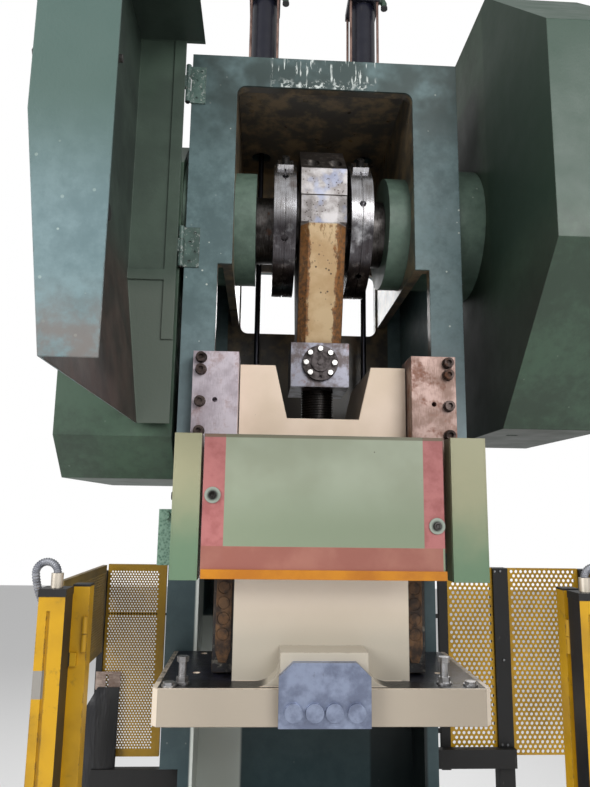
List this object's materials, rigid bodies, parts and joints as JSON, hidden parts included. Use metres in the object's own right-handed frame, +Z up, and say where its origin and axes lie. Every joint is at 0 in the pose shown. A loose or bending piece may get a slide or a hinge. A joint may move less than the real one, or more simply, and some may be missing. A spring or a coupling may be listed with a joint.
{
  "type": "mechanical stamping press",
  "caption": "Gap-frame eccentric stamping press with open crown bay, connecting rod, guided slide, swung-open crown door, flywheel guard and side guards with light curtains.",
  "frame": {"origin": "floor level, in the middle of the four anchor holes", "axes": "+X to the right across the press, +Y to the back, +Z up"},
  "size_m": [1.568, 1.7, 3.375],
  "materials": {
    "frame_green": "hammered green paint, chipped",
    "light_green": "light green sheet paint",
    "pale_green": "pale green sheet paint",
    "orange": "orange paint",
    "yellow": "yellow powder coat",
    "cream": "cream enamel, oil stained",
    "rod_cream": "cream enamel with rust",
    "black": "black",
    "cylinder": "navy black",
    "tie_rod": "oily brown steel",
    "steel": "ground steel",
    "gib_steel": "ground steel, coppery stains",
    "dark_steel": "oiled steel",
    "bronze": "bearing bronze",
    "cast": "machined cast iron",
    "strip": "oil-soaked bearing strip",
    "rubber": "rubber"
  },
  "bodies": {
    "machine": {"side_plates": "frame_green", "front_plates": "frame_green", "rear_plates": "frame_green", "level_plates": "frame_green", "inner_walls": "frame_green", "guide_housings": "frame_green", "bearing_bosses": "frame_green", "bolster_plate": "steel", "bolster_bolts": "dark_steel", "gib_plates": "gib_steel", "gib_screws": "dark_steel", "main_bearings": "bronze", "flywheel_guard": "light_green", "flywheel_guard_cover": "light_green", "brake_guard": "light_green", "brake_band": "dark_steel", "motor": "frame_green", "motor_bracket": "frame_green", "drive_belts": "rubber", "balance_cylinders": "cylinder", "cylinder_tie_rods": "tie_rod", "cylinder_elbows": "frame_green", "front_guard_panel": "pale_green", "guard_channels": "pale_green", "guard_lower_strip": "orange", "guard_bolts": "dark_steel", "mesh_screens": "yellow", "corner_columns": "black", "front_posts": "yellow", "light_curtains": "yellow", "junction_box": "frame_green", "frame_hinge_leaves": "frame_green", "hinge_pins": "steel"},
    "crank": {"crankshaft": "steel", "stroke_ring_left": "steel", "stroke_ring_right": "steel", "ring_screws": "dark_steel", "brake_drum": "cast", "clutch": "cast"},
    "rod": {"connecting_rod": "rod_cream", "rod_cap": "steel", "cap_bolts": "dark_steel", "big_end_bush": "bronze", "adjusting_block": "steel", "block_cover": "dark_steel", "cover_bolts": "steel", "adjusting_screw": "dark_steel"},
    "ram": {"slide": "cream", "guide_strips": "strip", "clamp_plate": "steel", "flange_fasteners": "dark_steel", "counterbalance_rods": "dark_steel"},
    "flywheel": {"flywheel": "cast"},
    "motor_pulley": {"motor_pulley": "cast"},
    "door": {"crown_door": "light_green", "door_hinge_leaves": "frame_green", "door_buffer": "black"},
    "door_bolt": {"door_bolt": "steel"},
    "gate_left": {"gate_left": "yellow"},
    "gate_right": {"gate_right": "yellow"}
  },
  "joints": [
    {"name": "crank_turn", "type": "hinge", "parent": "machine", "child": "crank", "pos_m": [0, -0.2, 2.4], "axis": [1, 0, 0], "range_deg": [0, 180]},
    {"name": "rod_on_eccentric", "type": "hinge", "parent": "crank", "child": "rod", "pos_m": [0, -0.2, 2.43], "axis": [1, 0, 0], "range_deg": [-185, 5]},
    {"name": "ram_slide", "type": "slide", "parent": "machine", "child": "ram", "axis": [0, 0, 1], "range_m": [-0.0606, 0.0005]},
    {"name": "flywheel_spin", "type": "hinge", "parent": "machine", "child": "flywheel", "pos_m": [0.55, -0.2, 2.4], "axis": [1, 0, 0], "continuous": true},
    {"name": "motor_spin", "type": "hinge", "parent": "machine", "child": "motor_pulley", "pos_m": [0.55, 0.44, 2.64], "axis": [1, 0, 0], "continuous": true},
    {"name": "door_hinge", "type": "hinge", "parent": "machine", "child": "door", "pos_m": [-0.372, -0.408, 2.3], "axis": [0, 0, 1], "range_deg": [0, 90]},
    {"name": "door_bolt_turn", "type": "hinge", "parent": "door", "child": "door_bolt", "pos_m": [-0.422, -1.1, 2.285], "axis": [1, 0, 0], "continuous": true},
    {"name": "gate_left_hinge", "type": "hinge", "parent": "machine", "child": "gate_left", "pos_m": [-0.611, 0.01, 1.3], "axis": [0, 0, 1], "range_deg": [-100, 0]},
    {"name": "gate_right_hinge", "type": "hinge", "parent": "machine", "child": "gate_right", "pos_m": [0.858, 0.01, 1.3], "axis": [0, 0, 1], "range_deg": [0, 100]}
  ],
  "couplings": [
    {"joint": "rod_on_eccentric", "follows": "crank_turn", "ratio": -1},
    {"joint": "ram_slide", "follows": "crank_turn", "m_per_rad": -0.019099},
    {"joint": "motor_spin", "follows": "flywheel_spin", "ratio": 6.5}
  ]
}
